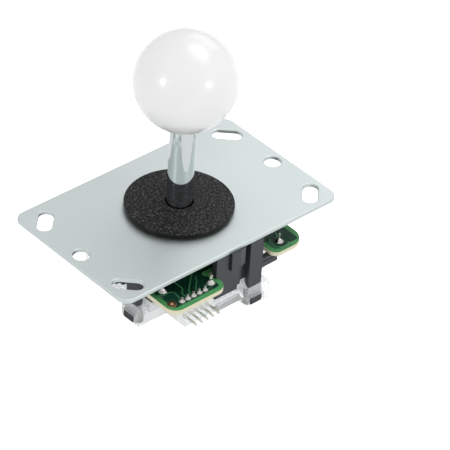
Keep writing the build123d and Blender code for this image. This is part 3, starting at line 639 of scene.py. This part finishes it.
# %% Solder tree
joints, given = start_tree("solder joints", Blob="object", Shrink=0.14, Seed=7)
blob = add_node(joints, "GeometryNodeObjectInfo")
join(joints, given["Blob"], blob.inputs["Object"])
size = add_node(joints, "FunctionNodeRandomValue", data_type="FLOAT")
join(joints, maths(joints, "SUBTRACT", 1.0, given["Shrink"]), size.inputs[2])
join(joints, given["Seed"], size.inputs["Seed"])
turn = add_node(joints, "FunctionNodeRandomValue", {3: math.tau}, data_type="FLOAT")
join(joints, given["Seed"], turn.inputs["Seed"])
axis = add_node(joints, "ShaderNodeCombineXYZ")
join(joints, turn.outputs[1], axis.inputs["Z"])
scales = add_node(joints, "ShaderNodeCombineXYZ", {"Z": 1.0})
join(joints, size.outputs[1], scales.inputs["X"])
join(joints, size.outputs[1], scales.inputs["Y"])
copies = add_node(joints, "GeometryNodeInstanceOnPoints")
join(joints, given["Geometry"], copies.inputs["Points"])
join(joints, blob.outputs["Geometry"], copies.inputs["Instance"])
join(joints, axis.outputs[0], copies.inputs["Rotation"])
join(joints, scales.outputs[0], copies.inputs["Scale"])
end_tree(joints, copies.outputs[0], given)
print("solder tree has", len(joints.nodes), "nodes")

# %% [markdown]
# There are three kinds of joint: low ones on the header's five pins, and tall ones on the switch
# terminals and on the wire links. The last two stand alike on all four sides of the board, so
# only one side's spots are written down.

# %% Solder joints
board_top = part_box("circuit_board")[1].z / MM
header_middle, pin_pitch, pin_row = -19.5, 2.5, -30.4
pin_spots = [(header_middle + pin_pitch * (i - 2), pin_row) for i in range(5)]
strip_spots = [(-10.6, -28.8), (-2.5, -21.9), (5.6, -21.9)]
corner_spot = (22.6, -26.1)
link_spots = [corner_spot, (18.2, -17.2)]
quarters = ((1, 0), (0, 1), (-1, 0), (0, -1))
side_steps, hollow, shrink = 12, 2.6, 0.14


def on_four_sides(spots):
    return [(x * c - y * s, x * s + y * c) for c, s in quarters for x, y in spots]


def solder_blob(name, height, foot, tip):
    """A cone with a hollow side and a rounded tip, in its own place at the origin."""
    side = []
    for i in range(side_steps + 1):
        t = i / side_steps
        side.append((tip + (foot - tip) * (1 - t) ** hollow, height * (0.96 * t + 0.04 * (t > 0))))
    crest = [(tip * 0.6, height + tip * 0.1), (0.0, height + tip * 0.12)]
    return turned_piece(name, [(0.0, 0.0)] + side + crest, "solder", 20, keep_sharp=60)


# Each kind has its spots, its height, the radius of its foot and of its tip, and a seed.
solder_kinds = {"pin_solder": (pin_spots, 1.02, 1.22, 0.50, 10),
                "strip_solder": (on_four_sides(strip_spots), 2.1, 1.65, 0.72, 12),
                "link_solder": (on_four_sides(link_spots), 2.1, 1.65, 0.42, 11)}
for kind, (spots, height, foot, tip, seed) in solder_kinds.items():
    blob = solder_blob(kind + "_blob", height, foot, tip)
    spots_mesh = points_mesh(kind, [(x, y, board_top) for x, y in spots])
    solder = grow(kind, joints, spots_mesh, "solder", Blob=blob, Shrink=shrink, Seed=seed)
    bpy.data.objects.remove(blob)
    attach(solder, "base")
    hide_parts("solder_joints")

# %% [markdown]
# Copper tracks show through the resist as low ridges. A track is a line of points, whose corners
# the tree rounds before it draws a flat strip along it. The line's normals point up, so that the
# strip lies flat in every bend.

# %% Track tree
track_width, track_height, track_bend = 0.55 * MM, 0.08 * MM, 1.2 * MM
tracks, given = start_tree("tracks", Width=track_width, Height=track_height, Corner=track_bend)
lines = add_node(tracks, "GeometryNodeMeshToCurve")
join(tracks, given["Geometry"], lines.inputs["Mesh"])
rounded = add_node(tracks, "GeometryNodeFilletCurve", {"Limit Radius": True, "Count": 6},
                   mode="POLY")
join(tracks, lines.outputs[0], rounded.inputs["Curve"])
join(tracks, given["Corner"], rounded.inputs["Radius"])
level = add_node(tracks, "GeometryNodeSetCurveNormal", mode="Z_UP")
join(tracks, rounded.outputs[0], level.inputs["Curve"])
section = add_node(tracks, "GeometryNodeCurvePrimitiveQuadrilateral")
join(tracks, given["Width"], section.inputs["Width"])
join(tracks, given["Height"], section.inputs["Height"])
strips = add_node(tracks, "GeometryNodeCurveToMesh", {"Fill Caps": True})
join(tracks, level.outputs[0], strips.inputs["Curve"])
join(tracks, section.outputs[0], strips.inputs["Profile Curve"])
end_tree(tracks, strips.outputs[0], given)
print("track tree has", len(tracks.nodes), "nodes")

# %% [markdown]
# On the real board the tracks run from the header's pins to the switches. They are drawn here as
# lists of bends. Two part rings go round the solder in each corner, where the copper is cut away.

# %% Tracks on the board
track_sink = 0.02
ring_step = 15


def ring_track(x, y, radius, start, stop):
    return [(x + radius * math.cos(math.radians(a)), y + radius * math.sin(math.radians(a)))
            for a in range(start, stop + 1, ring_step)]


track_lines = [
    [(-24.5, -30.4), (-24.2, -28.6), (-23.4, -25.4), (-25.0, -24.4), (-27.5, -24.4),
     (-30.0, -22.2)],
    [(-22.0, -30.4), (-22.0, -27.5), (-20.0, -25.5), (-20.0, -16.0), (-24.0, -12.0)],
    [(-19.5, -30.4), (-19.5, -28.0), (-16.5, -25.0), (-12.0, -21.0), (-2.5, -21.9)],
    [(-17.0, -30.4), (-17.0, -28.6), (-13.6, -25.2), (-12.6, -23.6), (-11.8, -22.9)],
    [(-14.5, -30.4), (-12.6, -28.8), (-10.6, -28.8)],
    [(22.6, -26.1), (24.5, -22.0), (26.5, -18.0), (26.5, -10.0)],
]
for radius, start, stop in ((3.3, 120, 320), (4.3, 150, 300)):
    track_lines += [ring_track(x, y, radius, start + turn, stop + turn)
                    for (x, y), turn in zip(on_four_sides([corner_spot]), (0, 90, 180, 270))]
points, edges = [], []
for line in track_lines:
    edges += [(len(points) + i, len(points) + i + 1) for i in range(len(line) - 1)]
    points += [(x, y, board_top + track_sink) for x, y in line]
track = grow("board_tracks", tracks, points_mesh("tracks", points, edges), "resist over copper",
             Width=track_width, Height=track_height, Corner=track_bend)
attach(track, "base")

# %% [markdown]
# One hole of the board is spare. It has a bare copper ring that was never soldered, with a sleeve
# down into the hole.

# %% Copper ring
spare_hole = Vector((-28.2 * MM, -29.6 * MM, 0))
sleeve_inner, sleeve_outer, sleeve_depth = 0.6, 1.08, 0.6
ring_outer, ring_height, ring_slope = 1.65, 0.05, 0.05
ring = turned_piece("spare_ring", [(sleeve_inner, board_top - sleeve_depth),
                                   (sleeve_inner, board_top + ring_height),
                                   (ring_outer, board_top + ring_height),
                                   (ring_outer + ring_slope, board_top),
                                   (sleeve_outer, board_top),
                                   (sleeve_outer, board_top - sleeve_depth)],
                    "bare copper", 40, closed=True)
ring.data.transform(Matrix.Translation(spare_hole))
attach(ring, "base")
print("copper ring", round(ring_outer * 2, 2), "mm across")

# %% [markdown]
# The spring's rule is a helix. The tree's spiral gives the line, and a circle is drawn along it.
# The real spring bends as the lever tilts. This one stays straight and follows the cup it stands
# in, so its top stops a little under the seat and never meets it.

# %% Spring
spring_turns = 4.0
wire_radius = 0.42 * MM
tilt_room = 0.75 * MM
low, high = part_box("centring_spring")
spring_radius = high.x - wire_radius
spring_height = high.z - low.z - 2 * wire_radius - tilt_room
spring_bottom = low.z + wire_radius
coil, given = start_tree("coil spring", Turns=spring_turns, Radius=spring_radius,
                         Height=spring_height, Wire=wire_radius, Bottom=spring_bottom)
helix = add_node(coil, "GeometryNodeCurveSpiral", {"Resolution": 40})
join(coil, given["Turns"], helix.inputs["Rotations"])
join(coil, given["Radius"], helix.inputs["Start Radius"])
join(coil, given["Radius"], helix.inputs["End Radius"])
join(coil, given["Height"], helix.inputs["Height"])
wire_round = add_node(coil, "GeometryNodeCurvePrimitiveCircle", {"Resolution": 14})
join(coil, given["Wire"], wire_round.inputs["Radius"])
wire = add_node(coil, "GeometryNodeCurveToMesh", {"Fill Caps": True})
join(coil, helix.outputs[0], wire.inputs["Curve"])
join(coil, wire_round.outputs[0], wire.inputs["Profile Curve"])
lift = add_node(coil, "ShaderNodeCombineXYZ")
join(coil, given["Bottom"], lift.inputs["Z"])
raised = add_node(coil, "GeometryNodeTransform")
join(coil, wire.outputs[0], raised.inputs["Geometry"])
join(coil, lift.outputs[0], raised.inputs["Translation"])
end_tree(coil, raised.outputs[0], given)
spring = grow("coil_spring", coil, points_mesh("spring start", [(0, 0, 0)]), "spring steel",
              Turns=spring_turns, Radius=spring_radius, Height=spring_height, Wire=wire_radius,
              Bottom=spring_bottom)
spring.data.polygons.foreach_set("use_smooth", [True] * len(spring.data.polygons))
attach(spring, "tilt")
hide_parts("centring_spring")

# %% [markdown]
# The photograph was taken on a white sweep. The floor is a pale sheet that keeps the lever's
# shadow, and it glows only for the rays that come from the camera or through the clear gate, so
# that it looks white there. Rays off the metal see a little of the glow too.

# %% Floor
floor_white, floor_glow, floor_gleam = (0.90, 0.90, 0.90), 0.85, 0.05
floor_size, floor_gap = 6.0, 0.2 * MM
floor_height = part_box("housing")[0].z
mesh = bpy.data.meshes.new("floor")
form = bmesh.new()
bmesh.ops.create_grid(form, x_segments=1, y_segments=1, size=floor_size)
bmesh.ops.translate(form, verts=form.verts, vec=(0, 0, floor_height - floor_gap))
form.to_mesh(mesh)
form.free()
floor = bpy.data.objects.new("floor", mesh)
bpy.context.scene.collection.objects.link(floor)
material, tree, shader, place = start_material("floor", floor_white, 0.9)
rays = add_node(tree, "ShaderNodeLightPath")
glow = add_node(tree, "ShaderNodeEmission", {"Color": (1, 1, 1, 1)})
seen = maths(tree, "MAXIMUM", rays.outputs["Is Camera Ray"], rays.outputs["Is Transmission Ray"])
gleam = maths(tree, "MULTIPLY", rays.outputs["Is Glossy Ray"], floor_gleam)
share = maths(tree, "ADD", maths(tree, "MULTIPLY", seen, floor_glow), gleam)
join(tree, share, glow.inputs["Strength"])
both = add_node(tree, "ShaderNodeAddShader")
join(tree, shader.outputs[0], both.inputs[0])
join(tree, glow.outputs[0], both.inputs[1])
join(tree, both.outputs[0], tree.nodes["Material Output"].inputs["Surface"])
floor.data.materials.append(material)
print("floor at", round(floor_height / MM, 2), "mm")

# %% [markdown]
# The room round the object is white to the camera, and through the gate. As a light it is a
# little less than white, and dimmest high up behind the lever, where the plate mirrors it to the
# camera. That gives the plate its grey. Rays off the metal see a share of the plain white as well.

# %% Room
wall_way = (0.56, 0.62, 0.55)
wall_near, wall_far = 0.92, 0.62
room_gleam = 0.2
scene = bpy.context.scene
scene.view_settings.view_transform = "Standard"
world = bpy.data.worlds.new("studio")
world.use_nodes = True
scene.world = world
tree = world.node_tree
background = tree.nodes["Background"]
background.inputs["Color"].default_value = (1, 1, 1, 1)
room = add_node(tree, "ShaderNodeTexCoord")
back_wall = add_node(tree, "ShaderNodeVectorMath", {1: wall_way}, operation="DOT_PRODUCT")
join(tree, room.outputs["Generated"], back_wall.inputs[0])
wall_level = spread(tree, back_wall.outputs["Value"], wall_near, wall_far, 0.25, 0.75)
rays = add_node(tree, "ShaderNodeLightPath")
seen = maths(tree, "MAXIMUM", rays.outputs["Is Camera Ray"], rays.outputs["Is Transmission Ray"])
gleam = maths(tree, "MULTIPLY", rays.outputs["Is Glossy Ray"], room_gleam)
seen = maths(tree, "MAXIMUM", seen, gleam)
unseen = maths(tree, "SUBTRACT", 1.0, seen)
level = maths(tree, "ADD", maths(tree, "MULTIPLY", wall_level, unseen), seen)
join(tree, level, background.inputs["Strength"])
print("room from", wall_far, "to", wall_near)

# %% [markdown]
# The lamps follow what the ball and the plate mirror in the photograph. A large soft one overhead
# leaves the wide pale patch on the ball. Two small round ones, low on the left and on the right,
# leave its two round spots. A small one behind the plate lays a soft sheen across the plate.

# %% Lamps
def soft_light(name, place, target, size, power, shape="DISK", height=None):
    """A flat lamp at one place that faces another, in metres and watts."""
    data = bpy.data.lights.new(name, "AREA")
    data.shape = shape
    data.size = size
    if height:
        data.size_y = height
    data.energy = power
    lamp = bpy.data.objects.new(name, data)
    scene.collection.objects.link(lamp)
    aim = (Vector(target) - Vector(place)).to_track_quat("-Z", "Y")
    lamp.matrix_world = Matrix.Translation(place) @ aim.to_matrix().to_4x4()


soft_light("overhead", (0.415, -0.037, 0.90), (0, 0, 0.05), 0.80, 2.1, "ELLIPSE", 0.58)
soft_light("left spot", (-0.9, 0.1, 0.35), (0, 0, 0.04), 0.20, 0.80)
soft_light("right spot", (0.2, -0.95, 0.35), (0, 0, 0.04), 0.20, 0.80)
soft_light("plate glow", (0.31, 0.144, 0.24), (0.04, 0.02, 0.0), 0.26, 0.115, "RECTANGLE", 0.18)
